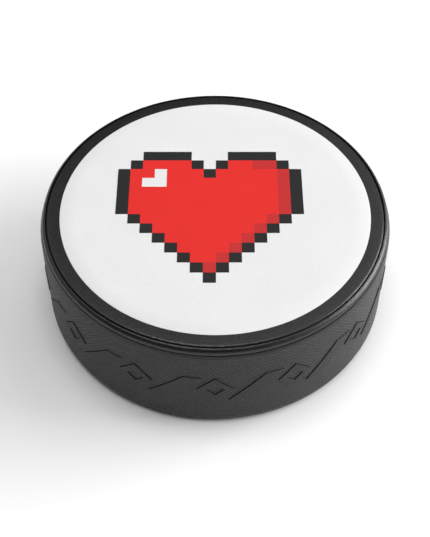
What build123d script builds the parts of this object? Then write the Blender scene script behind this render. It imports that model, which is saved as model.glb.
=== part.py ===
from build123d import *
import math
import os

# An ice hockey puck with a printed face, in millimetres, +Z up. The origin is the centre of the face it rests on.
# The rubber is one moulding: two flat faces, each ringed by a groove and a rounded bead, and a wall between them.
# The wall carries a raised frieze of lozenge rings and slanted bars in turn. It stands for the maker's lettering.
# The face decal is an adhesive layer, a white film and three inks, which lie side by side on the film.

# Regulation puck: 3 inches across and 1 inch thick. The frieze is the widest part.
PUCK_DIAMETER = 76.2
PUCK_HEIGHT = 25.4

# The edge of each face, from the flat face outwards. Drops are measured down from the face.
FACE_RADIUS = 36.4
FACE_ROUND = 0.6
FACE_ROUND_WIDTH = 0.45
GROOVE_WIDTH = 0.34
GROOVE_DEPTH = 1.1
BEAD_RADIUS = 37.54
BEAD_ROUND = 1.1
BEAD_DROP = 0.05
CREASE_DROP = 1.62
LEDGE_WIDTH = 0.15
BAND_RADIUS = 37.88
BAND_DROP = 2.1
WALL_DROP = 2.7

# The wall's grip pattern is a lattice of half diamonds. The frieze is laid out in its steps and stands above it.
DIAMONDS_ROUND = 252
FRIEZE_HEIGHT = 0.12
FRIEZE_MOTIFS = 28
LOZENGE_OUTER_STEPS = 8
LOZENGE_INNER_STEPS = 4
BAR_HALF_WIDTH_STEPS = 4
BAR_HALF_HEIGHT_STEPS = 8

# The printed decal.
DECAL_RADIUS = 33.6
ADHESIVE_THICKNESS = 0.03
FILM_THICKNESS = 0.08
INK_THICKNESS = 0.03

# The heart is drawn in square blocks, on rows numbered down from its top and columns numbered from its middle.
BLOCK = 2.72
HEART_ROWS = 14
HEART_CENTRE = (-1.2, -1.3)
LOBE_ROWS = ((2, 5), (1, 6))
SIDE_ROWS = 4
SIDE_COLUMN = 6
HIGHLIGHT_CORNER = (-4, 3)
TOP_SHADE_BLOCKS = 2

WALL_RADIUS = PUCK_DIAMETER / 2 - FRIEZE_HEIGHT
STEP = math.pi * WALL_RADIUS / DIAMONDS_ROUND
FILM_BASE = PUCK_HEIGHT + ADHESIVE_THICKNESS
INK_BASE = FILM_BASE + FILM_THICKNESS


def leg(hypotenuse, other):
    return math.sqrt(hypotenuse**2 - other**2)


def half_section():
    """The puck's section above its middle, on the XZ plane, from the axis to the wall."""
    top = PUCK_HEIGHT / 2
    groove_outer = FACE_RADIUS + GROOVE_WIDTH
    groove_floor = top - GROOVE_DEPTH
    edge_drop = FACE_ROUND - leg(FACE_ROUND, FACE_ROUND_WIDTH)
    bead_centre = (BEAD_RADIUS - BEAD_ROUND, top - BEAD_DROP - BEAD_ROUND)
    bead_inner = bead_centre[1] + leg(BEAD_ROUND, groove_outer - bead_centre[0])
    ledge_radius = BEAD_RADIUS + LEDGE_WIDTH
    run_out = WALL_RADIUS - BAND_RADIUS
    wall_round = (run_out**2 + (WALL_DROP - BAND_DROP) ** 2) / (2 * run_out)
    with BuildSketch(Plane.XZ) as section:
        with BuildLine():
            face = Line((0, top), (FACE_RADIUS - FACE_ROUND_WIDTH, top))
            edge = RadiusArc(face @ 1, (FACE_RADIUS, top - edge_drop), FACE_ROUND)
            groove = Polyline(edge @ 1, (FACE_RADIUS, groove_floor), (groove_outer, groove_floor), (groove_outer, bead_inner))
            bead = RadiusArc(groove @ 1, (BEAD_RADIUS, bead_centre[1]), BEAD_ROUND)
            crease = Polyline(bead @ 1, (BEAD_RADIUS, top - CREASE_DROP), (ledge_radius, top - CREASE_DROP))
            band = Line(crease @ 1, (BAND_RADIUS, top - BAND_DROP))
            shoulder = RadiusArc(band @ 1, (WALL_RADIUS, top - WALL_DROP), wall_round)
            wall = Line(shoulder @ 1, (WALL_RADIUS, 0))
            Polyline(wall @ 1, (0, 0), face @ 0)
        make_face()
    return section.sketch


def wall_pad(outline):
    """A pad of this outline on the wall at -Y, with an outside that follows the wall. It starts inside the rubber."""
    root = WALL_RADIUS - 1
    crest = WALL_RADIUS + FRIEZE_HEIGHT
    prism = extrude(Plane.XZ.offset(root - 1) * outline, 3)
    sleeve = Cylinder(crest, PUCK_HEIGHT) - Cylinder(root, PUCK_HEIGHT)
    return prism & sleeve


def lozenge_outline():
    outer = LOZENGE_OUTER_STEPS * STEP * math.sqrt(2)
    inner = LOZENGE_INNER_STEPS * STEP * math.sqrt(2)
    return Rot(0, 0, 45) * (Rectangle(outer, outer) - Rectangle(inner, inner))


def bar_outline():
    half_width = BAR_HALF_WIDTH_STEPS * STEP
    half_height = BAR_HALF_HEIGHT_STEPS * STEP
    lean = half_height
    return make_face(
        Polyline(
            (-lean - half_width, -half_height),
            (-lean + half_width, -half_height),
            (lean + half_width, half_height),
            (lean - half_width, half_height),
            close=True,
        )
    )


def puck_body():
    """The rubber moulding, its two halves alike."""
    upper = revolve(half_section(), Axis.Z)
    body = upper + mirror(upper, Plane.XY)
    motifs = (wall_pad(lozenge_outline()), wall_pad(bar_outline()))
    for number in range(FRIEZE_MOTIFS):
        body += Rot(0, 0, 360 * number / FRIEZE_MOTIFS) * motifs[number % 2]
    return Pos(0, 0, PUCK_HEIGHT / 2) * body


def decal_disc(base, thickness):
    return Pos(0, 0, base + thickness / 2) * Cylinder(DECAL_RADIUS, thickness)


def heart_blocks():
    """The heart's blocks as (column, row): two lobes, straight sides, then a staircase down to the point."""
    filled = set()
    for row, (near, far) in enumerate(LOBE_ROWS, start=1):
        filled |= {(side * column, row) for column in range(near, far + 1) for side in (-1, 1)}
    side_top = len(LOBE_ROWS) + 1
    for row in range(side_top, HEART_ROWS - 1):
        reach = SIDE_COLUMN - max(0, row - side_top - SIDE_ROWS + 1)
        filled |= {(column, row) for column in range(-reach, reach + 1)}
    return filled


def outline_blocks(filled):
    """Every empty block that shares a side with the heart."""
    beside = ((1, 0), (-1, 0), (0, 1), (0, -1))
    return {(c + dc, r + dr) for c, r in filled for dc, dr in beside} - filled


def shade_blocks(filled):
    """The last block of each row on the right, and one more along the right lobe's top."""
    shade = {(c, r) for c, r in filled if c >= 0 and (c + 1, r) not in filled}
    top_end = LOBE_ROWS[0][1]
    return shade | {(top_end - n, 1) for n in range(TOP_SHADE_BLOCKS)}


def highlight_blocks():
    """An L of three blocks, where the bare film shows."""
    column, row = HIGHLIGHT_CORNER
    return {(column, row), (column - 1, row), (column, row - 1)}


def joined_groups(blocks):
    """Splits blocks into groups whose blocks share sides, because blocks that only touch at a corner are apart."""
    left = set(blocks)
    groups = []
    while left:
        group = set()
        front = [min(left)]
        while front:
            column, row = front.pop()
            if (column, row) in left:
                left.remove((column, row))
                group.add((column, row))
                front += [(column + 1, row), (column - 1, row), (column, row + 1), (column, row - 1)]
        groups.append(sorted(group))
    return groups


def ink_layer(blocks, label):
    """One ink, as a separate solid for each group of joined blocks."""
    middle_row = (HEART_ROWS - 1) / 2
    solids = []
    for group in joined_groups(blocks):
        squares = Sketch()
        for column, row in group:
            x = HEART_CENTRE[0] + column * BLOCK
            y = HEART_CENTRE[1] + (middle_row - row) * BLOCK
            squares += Pos(x, y) * Rectangle(BLOCK, BLOCK)
        solids += extrude(Plane.XY.offset(INK_BASE) * squares, INK_THICKNESS).solids()
    return Compound(label=label, children=solids)


def main():
    heart = heart_blocks()
    shade = shade_blocks(heart)
    nodes = {
        "puck_body": puck_body(),
        "decal_adhesive": decal_disc(PUCK_HEIGHT, ADHESIVE_THICKNESS),
        "decal_film": decal_disc(FILM_BASE, FILM_THICKNESS),
        "outline_ink": ink_layer(outline_blocks(heart), "outline_ink"),
        "heart_ink": ink_layer(heart - shade - highlight_blocks(), "heart_ink"),
        "shade_ink": ink_layer(shade, "shade_ink"),
    }
    os.makedirs("parts", exist_ok=True)
    for name, shape in nodes.items():
        export_step(shape, f"parts/{name}.step")
        print(name, len(shape.solids()), "solids", round(shape.volume, 2), "mm3")


main()
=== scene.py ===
# %% [markdown]
# # An ice hockey puck with a printed face
# A puck is one moulding of black vulcanised rubber, 3 inches across and 1 inch thick. Its two faces are
# flat, its wall is covered in small diamonds that grip the stick's blade, and this one carries a round
# white decal with a block heart. The solids come from the CAD frame. This lesson gives them the surface
# that the solids leave out.

# %% Load the frame
import math
import bpy
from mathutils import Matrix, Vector


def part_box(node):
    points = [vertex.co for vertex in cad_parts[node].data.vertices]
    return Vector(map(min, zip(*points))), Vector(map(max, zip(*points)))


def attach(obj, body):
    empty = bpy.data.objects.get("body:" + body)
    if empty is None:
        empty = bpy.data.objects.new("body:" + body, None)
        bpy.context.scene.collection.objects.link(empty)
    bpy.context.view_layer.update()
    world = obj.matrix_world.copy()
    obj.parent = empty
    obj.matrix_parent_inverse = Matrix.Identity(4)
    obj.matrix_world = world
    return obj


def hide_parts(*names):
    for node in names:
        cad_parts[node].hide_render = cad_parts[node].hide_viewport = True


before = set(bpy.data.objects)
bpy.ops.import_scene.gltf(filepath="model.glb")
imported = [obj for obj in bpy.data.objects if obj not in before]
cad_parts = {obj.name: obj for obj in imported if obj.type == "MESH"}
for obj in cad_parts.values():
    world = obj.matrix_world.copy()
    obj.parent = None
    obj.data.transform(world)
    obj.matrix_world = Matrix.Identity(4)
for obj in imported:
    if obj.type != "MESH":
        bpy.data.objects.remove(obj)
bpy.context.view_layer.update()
body_low, body_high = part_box("puck_body")
adhesive_low, adhesive_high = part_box("decal_adhesive")
film_low, film_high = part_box("decal_film")
ink_low, ink_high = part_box("outline_ink")
MM = 0.001
# Points nearer than this are one point.
WELD = 0.001 * MM

# %% [markdown]
# ## Writing node trees as sums
# A node tree is a formula drawn with boxes. It reads better as a formula, so one small class wraps a
# socket and adds a Math node for each operator. A second holds a node that was made, and a third holds
# the tree and makes its nodes. Both kinds of tree, geometry and shader, use the same three classes.


# %% Socket, Made and Tree
class Socket:
    """One output socket. Arithmetic on it adds Math nodes to its tree."""

    def __init__(self, tree, socket):
        self.tree = tree
        self.socket = socket

    def math(self, operation, *others):
        values = dict(enumerate((self, *others)))
        return self.tree.add("ShaderNodeMath", {"operation": operation}, values)[0]

    def __add__(self, other):
        return self.math("ADD", other)

    def __radd__(self, other):
        return self.math("ADD", other)

    def __sub__(self, other):
        return self.math("SUBTRACT", other)

    def __rsub__(self, other):
        return self.tree.add("ShaderNodeMath", {"operation": "SUBTRACT"}, {0: other, 1: self})[0]

    def __mul__(self, other):
        return self.math("MULTIPLY", other)

    def __rmul__(self, other):
        return self.math("MULTIPLY", other)

    def __truediv__(self, other):
        return self.math("DIVIDE", other)

    def __abs__(self):
        return self.math("ABSOLUTE")

    def __lt__(self, other):
        return self.math("LESS_THAN", other)

    def __gt__(self, other):
        return self.math("GREATER_THAN", other)

    def wrap(self, low, high):
        return self.math("WRAP", high, low)


class Made:
    """A node that has been made. Its outputs are read by name or number."""

    def __init__(self, tree, node):
        self.tree = tree
        self.node = node

    def __getitem__(self, key):
        return Socket(self.tree, self.node.outputs[key])


class Tree:
    """A node tree. Each node takes its settings first, and then values or links for its sockets."""

    def __init__(self, nodes):
        self.nodes = nodes

    def add(self, kind, settings=None, inputs=None):
        node = self.nodes.nodes.new(kind)
        for name, value in (settings or {}).items():
            setattr(node, name, value)
        for key, value in (inputs or {}).items():
            if isinstance(value, Socket):
                self.nodes.links.new(value.socket, node.inputs[key])
            else:
                node.inputs[key].default_value = value
        return Made(self, node)

    def split(self, vector):
        parts = self.add("ShaderNodeSeparateXYZ", None, {0: vector})
        return parts[0], parts[1], parts[2]

    def join(self, x, y, z):
        return self.add("ShaderNodeCombineXYZ", None, {0: x, 1: y, 2: z})[0]


# %% [markdown]
# ## The main sizes
# The frame gives the outer sizes. On a real puck the flat face ends in a rounded edge, a narrow deep
# groove runs round it, and a broad rounded bead leads down to a crease. A smooth sloping band joins the
# crease to the knurled wall. The mould has the same edge top and bottom.

# %% Sizes of the moulding
PAD_RADIUS = body_high.x
PAD_HEIGHT = 0.12 * MM
WALL_RADIUS = PAD_RADIUS - PAD_HEIGHT
MIDDLE = (body_low.z + body_high.z) / 2
HALF_HEIGHT = (body_high.z - body_low.z) / 2
FACE_RADIUS = 36.4 * MM
FACE_ROUND = 0.6 * MM
FACE_ROUND_WIDTH = 0.45 * MM
GROOVE_WIDTH = 0.34 * MM
GROOVE_DEPTH = 1.1 * MM
BEAD_RADIUS = 37.54 * MM
BEAD_ROUND = 1.1 * MM
BEAD_DROP = 0.05 * MM
CREASE_DROP = 1.62 * MM
LEDGE_WIDTH = 0.15 * MM
BAND_RADIUS = 37.88 * MM
BAND_DROP = 2.1 * MM
FACE_RING_SHARES = (0, 0.3, 0.6, 0.85, 0.96)
SMALL_ARC_RUNS = 6
BEAD_ARC_RUNS = 14

DIAMONDS_ROUND = 252
STEPS_ROUND = 2 * DIAMONDS_ROUND
STEP = 2 * math.pi * WALL_RADIUS / STEPS_ROUND
LATTICE_ROWS = 22
KNURL_DEPTH = 0.15 * MM
knurled_height = 2 * LATTICE_ROWS * STEP
print("lattice step in mm", round(STEP / MM, 4), "knurled height in mm", round(knurled_height / MM, 2))

# %% [markdown]
# ## A ring for every step of the profile
# Turning a profile around an axis is how a lathe works, and it suits anything round. The profile is a
# chain of points in the XZ plane, from the middle of the bottom face to the middle of the top face. Arcs
# are divided into short runs. The rings in the wall stand exactly one lattice step apart, because the
# diamonds are made from them later, and each of those rings carries its row number.


# %% Profile of the moulding
def arc(centre, radius, start, end, runs):
    """Points on an arc in the XZ plane, both ends included, with angles in degrees from +X."""
    angles = [math.radians(start + (end - start) * n / runs) for n in range(runs + 1)]
    return [(centre[0] + radius * math.cos(a), centre[1] + radius * math.sin(a)) for a in angles]


def add_object(name, data):
    """A new object in the scene, at the origin."""
    made = bpy.data.objects.new(name, data)
    bpy.context.scene.collection.objects.link(made)
    return made


def edge_points():
    """One face's edge, from the middle of the face to the wall, as (radius, height above the middle)."""
    flat_radius = FACE_RADIUS - FACE_ROUND_WIDTH
    edge_end = math.degrees(math.acos(FACE_ROUND_WIDTH / FACE_ROUND))
    groove_radius = GROOVE_WIDTH / 2
    floor_height = HALF_HEIGHT - GROOVE_DEPTH + groove_radius
    bead_centre = (BEAD_RADIUS - BEAD_ROUND, HALF_HEIGHT - BEAD_DROP - BEAD_ROUND)
    bead_start = math.degrees(math.acos((FACE_RADIUS + GROOVE_WIDTH - bead_centre[0]) / BEAD_ROUND))
    crease = HALF_HEIGHT - CREASE_DROP
    flat = [(flat_radius * share, HALF_HEIGHT) for share in FACE_RING_SHARES]
    edge = arc((flat_radius, HALF_HEIGHT - FACE_ROUND), FACE_ROUND, 90, edge_end, SMALL_ARC_RUNS)
    groove = arc((FACE_RADIUS + groove_radius, floor_height), groove_radius, 180, 360, SMALL_ARC_RUNS)
    bead = arc(bead_centre, BEAD_ROUND, bead_start, 0, BEAD_ARC_RUNS)
    ledge = [(BEAD_RADIUS, crease), (BEAD_RADIUS + LEDGE_WIDTH, crease)]
    return flat + edge + groove + bead + ledge + [(BAND_RADIUS, HALF_HEIGHT - BAND_DROP)]


def moulding_profile():
    """(radius, height, lattice row or None) for every ring, from the bottom face to the top face."""
    edge = edge_points()
    groove_level = WALL_RADIUS - KNURL_DEPTH
    below = [(r, MIDDLE - h, None) for r, h in edge]
    lattice = [(groove_level, MIDDLE + n * STEP, n) for n in range(-LATTICE_ROWS, LATTICE_ROWS + 1)]
    above = [(r, MIDDLE + h, None) for r, h in reversed(edge)]
    return below + lattice + above


def profile_object(name, points):
    """A chain of points as a mesh, with each one's lattice row, and whether it has one, as attributes."""
    mesh = bpy.data.meshes.new(name)
    mesh.from_pydata([(r, 0, z) for r, z, _ in points], [(n, n + 1) for n in range(len(points) - 1)], [])
    row = mesh.attributes.new("lattice_row", "FLOAT", "POINT")
    knurled = mesh.attributes.new("knurled", "FLOAT", "POINT")
    for n, (_, _, lattice_row) in enumerate(points):
        row.data[n].value = lattice_row or 0
        knurled.data[n].value = lattice_row is not None
    return add_object(name, mesh)


moulding = profile_object("puck_moulding", moulding_profile())
print("rings in the moulding", len(moulding.data.vertices))

# %% [markdown]
# ## Turning the profile and cutting the grip pattern
# The diamonds could be a bump pattern, but then the wall's outline would stay smooth, and on a real puck
# it is not. They could also be thousands of small pyramids joined on, which leaves seams. Here the wall
# is one lattice of rings and columns, and every second crossing is raised, like the squares of one colour
# on a chessboard. Each square is then cut along the groove between its two low corners, which leaves
# four-sided diamonds.
#
# Around the middle runs a frieze of smooth raised pads, lozenge rings and slanted bars in turn. Their
# edges follow the grooves of the lattice. Each pad is pulled out of the faces that lie inside its shape,
# so it stays one piece with the wall, as it does in a mould.


# %% Named inputs for a geometry tree
def geometry_tree(name, sizes):
    """A geometry tree with named inputs. Each value's type sets the type of its input."""
    group = bpy.data.node_groups.new(name, "GeometryNodeTree")
    interface = group.interface
    interface.new_socket("Geometry", in_out="OUTPUT", socket_type="NodeSocketGeometry")
    interface.new_socket("Geometry", in_out="INPUT", socket_type="NodeSocketGeometry")
    kinds = {int: "NodeSocketInt", float: "NodeSocketFloat", bpy.types.Material: "NodeSocketMaterial"}
    for label, value in sizes.items():
        interface.new_socket(label, in_out="INPUT", socket_type=kinds.get(type(value), "NodeSocketVector"))
    tree = Tree(group)
    return tree, tree.add("NodeGroupInput")


def finish_tree(tree, geometry, material):
    """Every tree ends the same way: real geometry with its material."""
    real = tree.add("GeometryNodeRealizeInstances", None, {"Geometry": geometry})
    painted = tree.add("GeometryNodeSetMaterial", None, {"Geometry": real[0], "Material": material})
    tree.add("NodeGroupOutput", None, {0: painted[0]})


def plain_mesh(source, tree, sizes, name):
    """Runs the tree on an object, and returns the result as a new object with no modifier."""
    modifier = source.modifiers.new("tree", "NODES")
    modifier.node_group = tree.nodes
    found = {s.name: s.identifier for s in tree.nodes.interface.items_tree if s.in_out == "INPUT"}
    for label, value in sizes.items():
        modifier[found[label]] = value
    depsgraph = bpy.context.evaluated_depsgraph_get()
    mesh = bpy.data.meshes.new_from_object(source.evaluated_get(depsgraph), depsgraph=depsgraph)
    mesh.name = name
    bpy.data.objects.remove(source)
    return add_object(name, mesh)


# %% Turned shapes
def stored(tree, name):
    """An attribute of the mesh that the tree works on."""
    return tree.add("GeometryNodeInputNamedAttribute", {"data_type": "FLOAT"}, {"Name": name})[0]


def turn(tree, given):
    """Turns the profile that comes in, and raises every second crossing of its knurled rings."""
    profile = given["Geometry"]
    rings = tree.add("GeometryNodeAttributeDomainSize", {"component": "MESH"}, {0: profile})["Point Count"]
    steps = given["Steps Round"]
    grid = tree.add(
        "GeometryNodeMeshGrid",
        None,
        {"Size X": steps, "Size Y": rings - 1, "Vertices X": steps + 1, "Vertices Y": rings},
    )["Mesh"]
    x, y, _ = tree.split(tree.add("GeometryNodeInputPosition")[0])
    column = (x + steps / 2).math("ROUND")
    ring = (y + (rings - 1) / 2).math("ROUND")

    def on_ring(kind, value):
        settings = {"data_type": kind, "domain": "POINT"}
        return tree.add("GeometryNodeSampleIndex", settings, {0: profile, "Value": value, "Index": ring})[0]

    radius, _, height = tree.split(on_ring("FLOAT_VECTOR", tree.add("GeometryNodeInputPosition")[0]))
    knurled = on_ring("FLOAT", stored(tree, "knurled"))
    row = on_ring("FLOAT", stored(tree, "lattice_row"))
    # The number of steps is even. Adding it keeps the sum positive, and odd or even as it was.
    crest = knurled * (column + row + steps).math("MODULO", 2)
    reach = radius + crest * given["Knurl Depth"]
    angle = column * math.tau / steps
    spot = tree.join(reach * angle.math("SINE"), reach * angle.math("COSINE") * -1, height)
    for label, value in (("crest", crest), ("knurled", knurled)):
        grid = tree.add(
            "GeometryNodeStoreNamedAttribute",
            {"data_type": "FLOAT", "domain": "POINT"},
            {"Geometry": grid, "Name": label, "Value": value},
        )[0]
    placed = tree.add("GeometryNodeSetPosition", None, {"Geometry": grid, "Position": spot})[0]
    return tree.add("GeometryNodeMergeByDistance", None, {"Geometry": placed, "Distance": WELD})[0]


def soften(tree, geometry, sharp_angle):
    """Smooth shading, with a sharp edge wherever two faces meet at more than this many degrees."""
    angle = tree.add("GeometryNodeInputMeshEdgeAngle")[0]
    smooth = tree.add("GeometryNodeSetShadeSmooth", {"domain": "FACE"}, {0: geometry, "Shade Smooth": True})
    return tree.add(
        "GeometryNodeSetShadeSmooth",
        {"domain": "EDGE"},
        {0: smooth[0], "Selection": angle > math.radians(sharp_angle), "Shade Smooth": False},
    )[0]


# %% The moulding's tree
SHARP_WALL_ANGLE = 20


def pad_faces(tree, given):
    """Which faces lie in a pad. Places are counted in lattice steps, around the wall and up it."""
    x, y, z = tree.split(tree.add("GeometryNodeInputPosition")[0])
    around = x.math("ARCTAN2", y * -1) * given["Steps Round"] / math.tau
    up = (z - given["Middle"]) / given["Step"]
    pitch = given["Motif Pitch"]
    from_lozenge = abs(around.wrap(pitch * -1, pitch)) + abs(up)
    from_bar = abs((around - pitch).wrap(pitch * -1, pitch) - up)
    lozenge = (from_lozenge < given["Lozenge Outer"]) * (from_lozenge > given["Lozenge Inner"])
    bar = (from_bar < given["Bar Half Width"]) * (abs(up) < given["Bar Half Height"])
    return lozenge + bar


def moulding_tree(sizes):
    tree, given = geometry_tree("Moulding", sizes)
    turned = turn(tree, given)
    in_wall = stored(tree, "knurled") > 0
    cut = tree.add("GeometryNodeTriangulate", None, {0: turned, "Selection": in_wall})[0]
    pulled = tree.add(
        "GeometryNodeExtrudeMesh",
        {"mode": "FACES"},
        {"Mesh": cut, "Selection": pad_faces(tree, given), "Offset Scale": 0.0, "Individual": False},
    )
    x, y, z = tree.split(tree.add("GeometryNodeInputPosition")[0])
    outward = given["Pad Radius"] / (x * x + y * y).math("SQRT")
    raised = tree.add(
        "GeometryNodeSetPosition",
        None,
        {0: pulled["Mesh"], "Selection": pulled["Top"], "Position": tree.join(x * outward, y * outward, z)},
    )[0]
    marked = tree.add(
        "GeometryNodeStoreNamedAttribute",
        {"data_type": "FLOAT", "domain": "FACE"},
        {"Geometry": raised, "Name": "pad", "Value": pulled["Top"]},
    )[0]
    finish_tree(tree, soften(tree, marked, SHARP_WALL_ANGLE), given["Material"])
    return tree


# %% [markdown]
# ## Black rubber
# Vulcanised rubber is nearly black, and never quite even. The mould leaves a fine grain, the compound has
# faint clouds in it, and the tips of the diamonds are a little smoother than the grooves between them.
# The tips are also painted paler, and the pads a little paler. This is partly wear and partly painted sheen
# for the light that the tips catch, so the grooves stay dark as painted shade. One Principled shader covers
# all of it. Its colour, roughness and bump come from noise at three scales, read from Object coordinates,
# so the pattern is a real size. The attributes that the moulding's tree stored tell the tips, the pads and
# the smooth parts apart.


# %% Shader trees
def shader_tree(name, constants):
    """A new material, its tree and its Principled node, which has these constants on its own sockets."""
    material = bpy.data.materials.new(name)
    material.use_nodes = True
    material.node_tree.nodes.clear()
    tree = Tree(material.node_tree)
    shader = tree.add("ShaderNodeBsdfPrincipled", None, constants)
    tree.add("ShaderNodeOutputMaterial", None, {"Surface": shader[0]})
    return material, tree, shader


def feed(tree, shader, **inputs):
    """Links values to the Principled node's sockets."""
    for key, value in inputs.items():
        tree.nodes.links.new(value.socket, shader.node.inputs[key.replace("_", " ")])


def noise(tree, size, detail, roughness=0.5):
    """Noise whose features are about this many metres across."""
    where = tree.add("ShaderNodeTexCoord")["Object"]
    values = {"Vector": where, "Scale": 1 / size, "Detail": detail, "Roughness": roughness}
    return tree.add("ShaderNodeTexNoise", None, values)[0]


def colour_mix(tree, share, first, second):
    """Goes from the first colour to the second. Each one is three numbers, or the socket of a colour."""
    settings = {"data_type": "RGBA", "blend_type": "MIX"}
    ends = [colour if isinstance(colour, Socket) else (*colour, 1) for colour in (first, second)]
    return tree.add("ShaderNodeMix", settings, {0: share, 6: ends[0], 7: ends[1]})[2]


def bump(tree, height, distance):
    return tree.add("ShaderNodeBump", None, {"Strength": 1.0, "Distance": distance, "Height": height})[0]


def attribute(tree, name):
    """What the moulding's tree stored on its surface, as a shader reads it."""
    return tree.add("ShaderNodeAttribute", {"attribute_name": name})["Fac"]


# %% The rubber
RUBBER_DARK = (0.002, 0.002, 0.002)
RUBBER_LIGHT = (0.012, 0.012, 0.0122)
# The third colour paints the tips paler, and the pads a little: partly wear, partly painted sheen.
RUBBER_WEAR_AND_SHEEN = (0.046, 0.046, 0.047)
RUBBER_CLOUDS = 9 * MM
RUBBER_MOTTLE = 1.2 * MM
RUBBER_GRAIN = 0.34 * MM
RUBBER_RELIEF = 0.08 * MM
# How much of the paler tip colour, wear and painted sheen, the pads get.
PAD_WEAR_AND_SHEEN = 0.12


def rubber():
    material, tree, shader = shader_tree("Black rubber", {"IOR": 1.5})
    clouds = noise(tree, RUBBER_CLOUDS, 3.0)
    mottle = noise(tree, RUBBER_MOTTLE, 3.0)
    grain = noise(tree, RUBBER_GRAIN, 2.0, 0.6)
    knurled = attribute(tree, "knurled")
    pad = attribute(tree, "pad")
    # A diamond's tip is painted paler, for wear and painted sheen, from 0.15 of the way up its slope, and
    #     # fully from 0.4 of the way up.
    tip_wear_and_sheen = (4 * attribute(tree, "crest") - 0.6).math("MAXIMUM", 0).math("MINIMUM", 1)
    tips = tip_wear_and_sheen * (1 - pad) + PAD_WEAR_AND_SHEEN * pad
    base = colour_mix(tree, clouds * 0.3 + mottle * 0.2 + grain * 0.5, RUBBER_DARK, RUBBER_LIGHT)
    # The tips are painted paler: partly wear, partly painted sheen, which leaves the grooves dark as
    # painted shade.
    wear_and_sheen_colour = colour_mix(tree, tips, base, RUBBER_WEAR_AND_SHEEN)
    rough = 0.21 + 0.06 * mottle + 0.12 * grain + knurled * (0.32 - 0.2 * tips)
    relief = bump(tree, grain + mottle * 0.3, RUBBER_RELIEF)
    feed(tree, shader, Base_Color=wear_and_sheen_colour, Roughness=rough, Normal=relief)
    return material


# %% The moulding
black_rubber = rubber()
# The frieze's pitch and shapes are counted in lattice steps.
moulding_sizes = {
    "Steps Round": STEPS_ROUND,
    "Step": STEP,
    "Middle": MIDDLE,
    "Knurl Depth": KNURL_DEPTH,
    "Pad Radius": PAD_RADIUS,
    "Motif Pitch": 18,
    "Lozenge Outer": 8,
    "Lozenge Inner": 4,
    "Bar Half Width": 4,
    "Bar Half Height": 8,
    "Material": black_rubber,
}
puck = plain_mesh(moulding, moulding_tree(moulding_sizes), moulding_sizes, "rubber_moulding")
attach(puck, "root")
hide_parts("puck_body")
print("faces in the moulding", len(puck.data.polygons))

# %% [markdown]
# ## The white film and its adhesive
# The face is a disc of white vinyl film, stuck down by a thin adhesive. Both are turned from short
# profiles with the same tree parts as the moulding, because a CAD disc has a knife-sharp rim and a real
# cut edge is slightly rounded. The adhesive stops a hair short of the film's rim.


# %% Discs
DISC_STEPS_ROUND = 180
DISC_RING_SHARES = (0, 0.5, 0.9)
CORNER_RUNS = 4
SHARP_RIM_ANGLE = 50


def disc_profile(radius, low, high, rounding):
    """A thin disc's rings: flat bottom, upright rim, rounded top corner and flat top."""
    corner = arc((radius - rounding, high - rounding), rounding, 0, 90, CORNER_RUNS)
    bottom = [(radius * share, low, None) for share in (*DISC_RING_SHARES, 1)]
    top = [(radius * share, high, None) for share in reversed(DISC_RING_SHARES)]
    return bottom + [(r, z, None) for r, z in corner] + top


def disc_tree(sizes):
    tree, given = geometry_tree("Turned disc", sizes)
    finish_tree(tree, soften(tree, turn(tree, given), SHARP_RIM_ANGLE), given["Material"])
    return tree


def disc(name, node, profile, material):
    sizes = {"Steps Round": DISC_STEPS_ROUND, "Knurl Depth": 0.0, "Material": material}
    made = plain_mesh(profile_object(name + "_profile", profile), disc_tree(sizes), sizes, name)
    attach(made, "root")
    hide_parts(node)
    print(name, "faces", len(made.data.polygons))
    return made


# %% The finishes of the discs
ADHESIVE_DARK = (0.55, 0.55, 0.52)
ADHESIVE_LIGHT = (0.72, 0.72, 0.69)
ADHESIVE_STRINGS = 0.6 * MM
ADHESIVE_RELIEF = 0.01 * MM
FILM_DARK = (0.66, 0.66, 0.665)
FILM_LIGHT = (0.78, 0.78, 0.78)
FILM_CLOUDS = 14 * MM
FILM_WEAVE = 0.45 * MM
FILM_GRAIN = 0.16 * MM
FILM_RELIEF = 0.03 * MM


def adhesive_finish():
    """Dried adhesive, drawn out in fine strings."""
    material, tree, shader = shader_tree("Clear adhesive", {"IOR": 1.47})
    strings = noise(tree, ADHESIVE_STRINGS, 3.0)
    colour = colour_mix(tree, strings, ADHESIVE_DARK, ADHESIVE_LIGHT)
    rough = 0.3 + 0.2 * strings
    relief = bump(tree, strings, ADHESIVE_RELIEF)
    feed(tree, shader, Base_Color=colour, Roughness=rough, Normal=relief)
    return material


def film_finish():
    """Matte vinyl film, with a fine weave and a finer grain."""
    material, tree, shader = shader_tree("White film", {"IOR": 1.3})
    clouds = noise(tree, FILM_CLOUDS, 2.0)
    weave = noise(tree, FILM_WEAVE, 3.0, 0.6)
    grain = noise(tree, FILM_GRAIN, 1.0)
    colour = colour_mix(tree, clouds * 0.5 + weave * 0.5, FILM_DARK, FILM_LIGHT)
    rough = 0.5 + 0.2 * weave
    relief = bump(tree, weave + grain * 0.6, FILM_RELIEF)
    feed(tree, shader, Base_Color=colour, Roughness=rough, Normal=relief)
    return material


# %% The adhesive and the film
ADHESIVE_INSET = 0.04 * MM
ADHESIVE_ROUND = 0.01 * MM
FILM_ROUND = 0.05 * MM
adhesive_radius = adhesive_high.x - ADHESIVE_INSET
adhesive_profile = disc_profile(adhesive_radius, adhesive_low.z, adhesive_high.z, ADHESIVE_ROUND)
adhesive = disc("decal_adhesive_layer", "decal_adhesive", adhesive_profile, adhesive_finish())
film_profile = disc_profile(film_high.x, film_low.z, film_high.z, FILM_ROUND)
film = disc("decal_film_disc", "decal_film", film_profile, film_finish())

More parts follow.
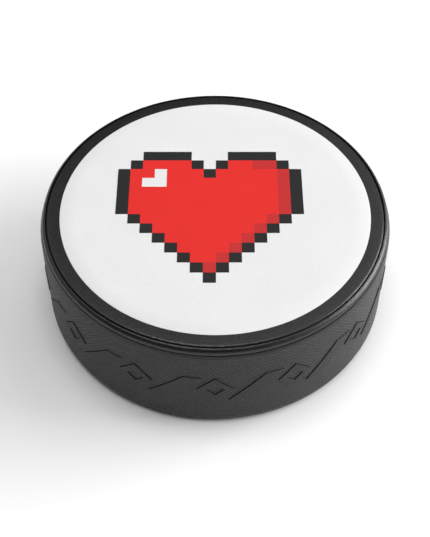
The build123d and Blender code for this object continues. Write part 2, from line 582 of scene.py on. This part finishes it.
# %% [markdown]
# ## The printed heart
# The heart is a plain block symbol, so a rule draws it and nothing is traced. On a grid of square blocks,
# each row of the heart reaches from an inner limit to an outer limit, the same on both sides. Growing the
# limits by one block gives the outline. The darker shade takes the last block of each row on the right,
# and the last two of the top row. Three blocks at the upper left are left bare as a highlight. A tree
# keeps the blocks that its ink prints, pulls touching corners a hair apart, and gives the blocks the
# ink's thickness.


# %% Block rules
# Rows are counted down from the outline's top row, and columns from the heart's middle.
HALF = 0.5
TOP_ROW = 1
LOBE_START = 4
STAIRS_END = 12
WIDEST = 6
NOTCH_END = 3
# Each row of the highlight has its first and last column.
HIGHLIGHT = {2: (-4, -4), 3: (-5, -4)}


def outer_limit(row, grow):
    """This row's farthest column: on the lobe's slope, the straight side, or the stairs to the point."""
    lobe = row + LOBE_START
    stairs = STAIRS_END - row
    return lobe.math("MINIMUM", stairs).math("MINIMUM", WIDEST) + grow


def in_heart(column, row, grow):
    """1 inside the heart when its limits are grown by this many blocks, and 0 outside."""
    far = abs(column)
    notch = NOTCH_END - row - grow
    inside = (far < outer_limit(row, grow) + HALF) * (far > notch - HALF)
    return inside * (row > TOP_ROW - grow - HALF)


def ink_share(column, row, ink):
    """1 on the blocks that this ink prints."""
    heart = in_heart(column, row, 0)
    if ink == "outline":
        return in_heart(column, row, 1) * (1 - heart)
    reach_back = HALF + (row < TOP_ROW + HALF)
    shade = heart * (column > outer_limit(row, 0) - reach_back) * (column > -HALF)
    if ink == "shade":
        return shade
    printed = heart * (1 - shade)
    for high_row, (first, last) in HIGHLIGHT.items():
        this_row = (row > high_row - HALF) * (row < high_row + HALF)
        printed = printed * (1 - this_row * (column > first - HALF) * (column < last + HALF))
    return printed


# %% Ink trees
def ink_tree(sizes, ink):
    tree, given = geometry_tree("Printed blocks " + ink, sizes)
    block = given["Block"]
    columns = given["Columns"]
    rows = given["Rows"]
    grid = tree.add(
        "GeometryNodeMeshGrid",
        None,
        {
            "Size X": block * columns,
            "Size Y": block * rows,
            "Vertices X": columns + 1,
            "Vertices Y": rows + 1,
        },
    )["Mesh"]
    position = tree.add("GeometryNodeInputPosition")[0]
    x, y, _ = tree.split(position)
    column = (x / block).math("ROUND")
    row = ((rows - 1) / 2 - y / block).math("ROUND")
    unprinted = 1 - ink_share(column, row, ink)
    kept = tree.add("GeometryNodeDeleteGeometry", {"domain": "FACE"}, {0: grid, "Selection": unprinted})[0]
    # An edge with one face is a border. Splitting at the borders parts the blocks that only share a corner.
    border = tree.add("GeometryNodeInputMeshEdgeNeighbors")[0] < 1 + HALF
    apart = tree.add("GeometryNodeSplitEdges", None, {0: kept, "Selection": border})[0]
    on_faces = {"data_type": "FLOAT_VECTOR", "domain": "FACE"}
    centres = tree.add("GeometryNodeFieldOnDomain", on_faces, {"Value": position})[0]
    towards = tree.add("ShaderNodeVectorMath", {"operation": "SUBTRACT"}, {0: centres, 1: position})[0]
    pull_values = {0: towards, "Scale": given["Corner Pull"]}
    pull = tree.add("ShaderNodeVectorMath", {"operation": "SCALE"}, pull_values)[0]
    pulled = tree.add("GeometryNodeSetPosition", None, {0: apart, "Offset": pull})[0]
    placed = tree.add("GeometryNodeTransform", None, {0: pulled, "Translation": given["Centre"]})[0]
    upright = tree.join(0, 0, given["Thickness"])
    raised = tree.add(
        "GeometryNodeExtrudeMesh",
        {"mode": "FACES"},
        {"Mesh": placed, "Offset": upright, "Offset Scale": 1.0, "Individual": False},
    )["Mesh"]
    under = tree.add("GeometryNodeFlipFaces", None, {0: placed})[0]
    both = tree.add("GeometryNodeJoinGeometry", None, {0: raised})
    tree.nodes.links.new(under.socket, both.node.inputs[0])
    closed = tree.add("GeometryNodeMergeByDistance", None, {0: both[0], "Distance": WELD / 2})[0]
    finish_tree(tree, closed, given["Material"])
    return tree


# %% The finish of an ink
INK_CLOUDS = 8 * MM
INK_DOTS = 0.18 * MM
INK_RELIEF = 0.05 * MM
INK_ROUGHNESS = 0.45


def ink_finish(name, dark, light):
    """Printed ink: small dots of slightly different depth, and a low sheen that follows the weave."""
    material, tree, shader = shader_tree(name, {"IOR": 1.3})
    clouds = noise(tree, INK_CLOUDS, 2.0)
    dots = tree.add(
        "ShaderNodeTexVoronoi",
        None,
        {"Vector": tree.add("ShaderNodeTexCoord")["Object"], "Scale": 1 / INK_DOTS},
    )["Distance"]
    weave = noise(tree, FILM_WEAVE, 3.0, 0.6)
    colour = colour_mix(tree, clouds * 0.4 + dots * 0.4 + weave * 0.2, dark, light)
    rough = INK_ROUGHNESS + 0.15 * weave
    feed(tree, shader, Base_Color=colour, Roughness=rough, Normal=bump(tree, weave, INK_RELIEF))
    return material


# %% The three inks
BLOCK = 2.72 * MM
COLUMNS = 15
ROWS = 14
CORNER_PULL = 0.002
heart_centre = (ink_low + ink_high) / 2
# Each ink has its CAD node, its material slot, and its darkest and lightest colour.
INKS = {
    "outline": ("outline_ink", "black_ink", (0.012, 0.012, 0.0125), (0.018, 0.018, 0.0185)),
    "fill": ("heart_ink", "red_ink", (0.65, 0.017, 0.0145), (0.73, 0.026, 0.021)),
    "shade": ("shade_ink", "dark_red_ink", (0.465, 0.0185, 0.0195), (0.52, 0.028, 0.028)),
}
for ink, (node, slot, dark, light) in INKS.items():
    sizes = {
        "Block": BLOCK,
        "Columns": COLUMNS,
        "Rows": ROWS,
        "Centre": (heart_centre.x, heart_centre.y, ink_low.z),
        "Thickness": ink_high.z - ink_low.z,
        "Corner Pull": CORNER_PULL,
        "Material": ink_finish(slot, dark, light),
    }
    start = profile_object(ink + "_start", [(0, 0, None)])
    printed = plain_mesh(start, ink_tree(sizes, ink), sizes, "printed_" + ink)
    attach(printed, "root")
    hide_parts(node)
    print("printed", ink, "faces", len(printed.data.polygons))

# %% [markdown]
# ## Floor, light and camera
# A small black object on white is a classic product picture. Black rubber shows only what it reflects, so
# the lights are placed for their reflections. A wide low key light at the right draws a bright line along
# the bead and opens the wall on that side, and a weaker one above it softens its shadow. One behind gives
# the flat edge of the face its sheen. A small overhead light and a wide one at the back left brighten the
# film and keep the shadow at the left soft. Nothing stands straight in front, so the bead there stays
# nearly dark.


# %% Floor
FLOOR_REACH = 2.0
FLOOR_CLOUDS = 60 * MM
FLOOR_DARK = (0.93, 0.93, 0.93)
FLOOR_LIGHT = (0.95, 0.95, 0.95)


def floor():
    """A square sheet that reaches two metres from the puck on every side."""
    mesh = bpy.data.meshes.new("floor")
    far = FLOOR_REACH
    mesh.from_pydata([(-far, -far, 0), (far, -far, 0), (far, far, 0), (-far, far, 0)], [], [(0, 1, 2, 3)])
    material, tree, shader = shader_tree("White floor", {"Roughness": 0.9, "Specular IOR Level": 0.1})
    feed(tree, shader, Base_Color=colour_mix(tree, noise(tree, FLOOR_CLOUDS, 2.0), FLOOR_DARK, FLOOR_LIGHT))
    mesh.materials.append(material)
    return add_object("floor", mesh)


floor()


# %% Lights
def softbox(name, azimuth, elevation, size, power):
    """A square light one metre away, facing the puck. The azimuth is in degrees from +X towards +Y."""
    light = bpy.data.lights.new(name, "AREA")
    light.size = size
    light.energy = power
    around = math.radians(azimuth)
    up = math.radians(elevation)
    place = Vector((math.cos(up) * math.cos(around), math.cos(up) * math.sin(around), math.sin(up)))
    made = add_object(name, light)
    made.location = place
    made.rotation_euler = (Vector((0, 0, MIDDLE)) - place).to_track_quat("-Z", "Y").to_euler()


softbox("key", azimuth=10, elevation=16, size=0.7, power=15.5)
softbox("key_upper", azimuth=-20, elevation=32, size=0.6, power=1.9)
softbox("behind", azimuth=50, elevation=48, size=0.7, power=2.1)
softbox("behind_left", azimuth=150, elevation=40, size=1.0, power=2.1)
softbox("overhead", azimuth=190, elevation=86, size=0.55, power=4.5)

# %% Surroundings
SURROUND_STRENGTH = 0.08
world = bpy.data.worlds.new("surroundings")
world.use_nodes = True
background = world.node_tree.nodes["Background"]
background.inputs["Color"].default_value = (1, 1, 1, 1)
background.inputs["Strength"].default_value = SURROUND_STRENGTH
bpy.context.scene.world = world

# %% Camera
CAMERA_SIDE = -0.04 * MM
CAMERA_BACK = 165.9 * MM
CAMERA_UP = 180.65 * MM
CAMERA_TILT = 39.586
SENSOR_WIDTH_IN_MM = 36
FOCAL_LENGTH_IN_MM = 75.82
lens = bpy.data.cameras.new("camera")
lens.sensor_width = SENSOR_WIDTH_IN_MM
lens.lens = FOCAL_LENGTH_IN_MM
camera = add_object("camera", lens)
camera.location = (CAMERA_SIDE, -CAMERA_BACK, film_high.z + CAMERA_UP)
camera.rotation_euler = (math.radians(CAMERA_TILT), 0, 0)
bpy.context.scene.camera = camera
bpy.context.scene.view_settings.view_transform = "Standard"
